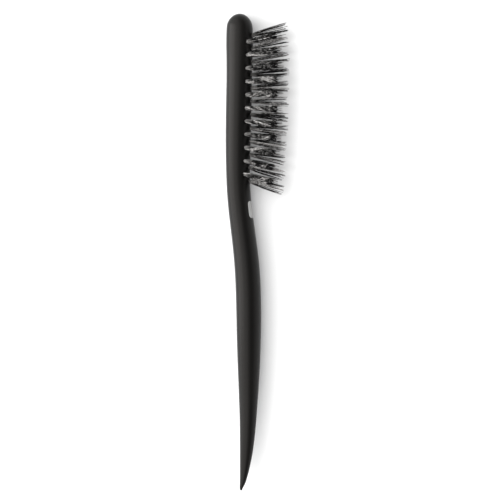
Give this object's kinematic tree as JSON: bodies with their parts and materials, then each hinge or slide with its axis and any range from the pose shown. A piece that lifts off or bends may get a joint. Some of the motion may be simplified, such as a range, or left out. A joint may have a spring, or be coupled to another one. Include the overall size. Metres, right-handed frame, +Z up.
{
  "type": "narrow dressing brush",
  "caption": "Slim salon dressing brush: staggered rows of round bristle tufts on a slim head, and a curved tail handle that tapers to a sectioning point.",
  "frame": {"origin": "on the surface that the brush lies on, below the centre of the brush's box", "axes": "+X is the way the bristles point, +Y runs from the tail's point to the dome of the head, and +Z is up, out of the brush's left side. The brush lies on its right side, on the handle's side and close above the ends of the right row"},
  "size_m": [0.0325, 0.24, 0.0155],
  "materials": {
    "handle": "soft satin black moulding with a fine even grain",
    "bristle": "glossy black nylon filament",
    "badge": "satin light grey inlay",
    "anchor": "flat drawn wire, cut to length"
  },
  "bodies": {
    "root": {"handle_body": "handle", "badge": "badge", "tuft_left_01": "bristle", "tuft_left_02": "bristle", "tuft_left_03": "bristle", "tuft_left_04": "bristle", "tuft_left_05": "bristle", "tuft_left_06": "bristle", "tuft_left_07": "bristle", "tuft_left_08": "bristle", "tuft_left_09": "bristle", "tuft_left_10": "bristle", "tuft_left_11": "bristle", "tuft_middle_01": "bristle", "tuft_middle_02": "bristle", "tuft_middle_03": "bristle", "tuft_middle_04": "bristle", "tuft_middle_05": "bristle", "tuft_middle_06": "bristle", "tuft_middle_07": "bristle", "tuft_middle_08": "bristle", "tuft_middle_09": "bristle", "tuft_middle_10": "bristle", "tuft_middle_11": "bristle", "tuft_middle_12": "bristle", "tuft_right_01": "bristle", "tuft_right_02": "bristle", "tuft_right_03": "bristle", "tuft_right_04": "bristle", "tuft_right_05": "bristle", "tuft_right_06": "bristle", "tuft_right_07": "bristle", "tuft_right_08": "bristle", "tuft_right_09": "bristle", "tuft_right_10": "bristle", "tuft_right_11": "bristle", "anchors_left": "anchor", "anchors_middle": "anchor", "anchors_right": "anchor"}
  },
  "joints": []
}
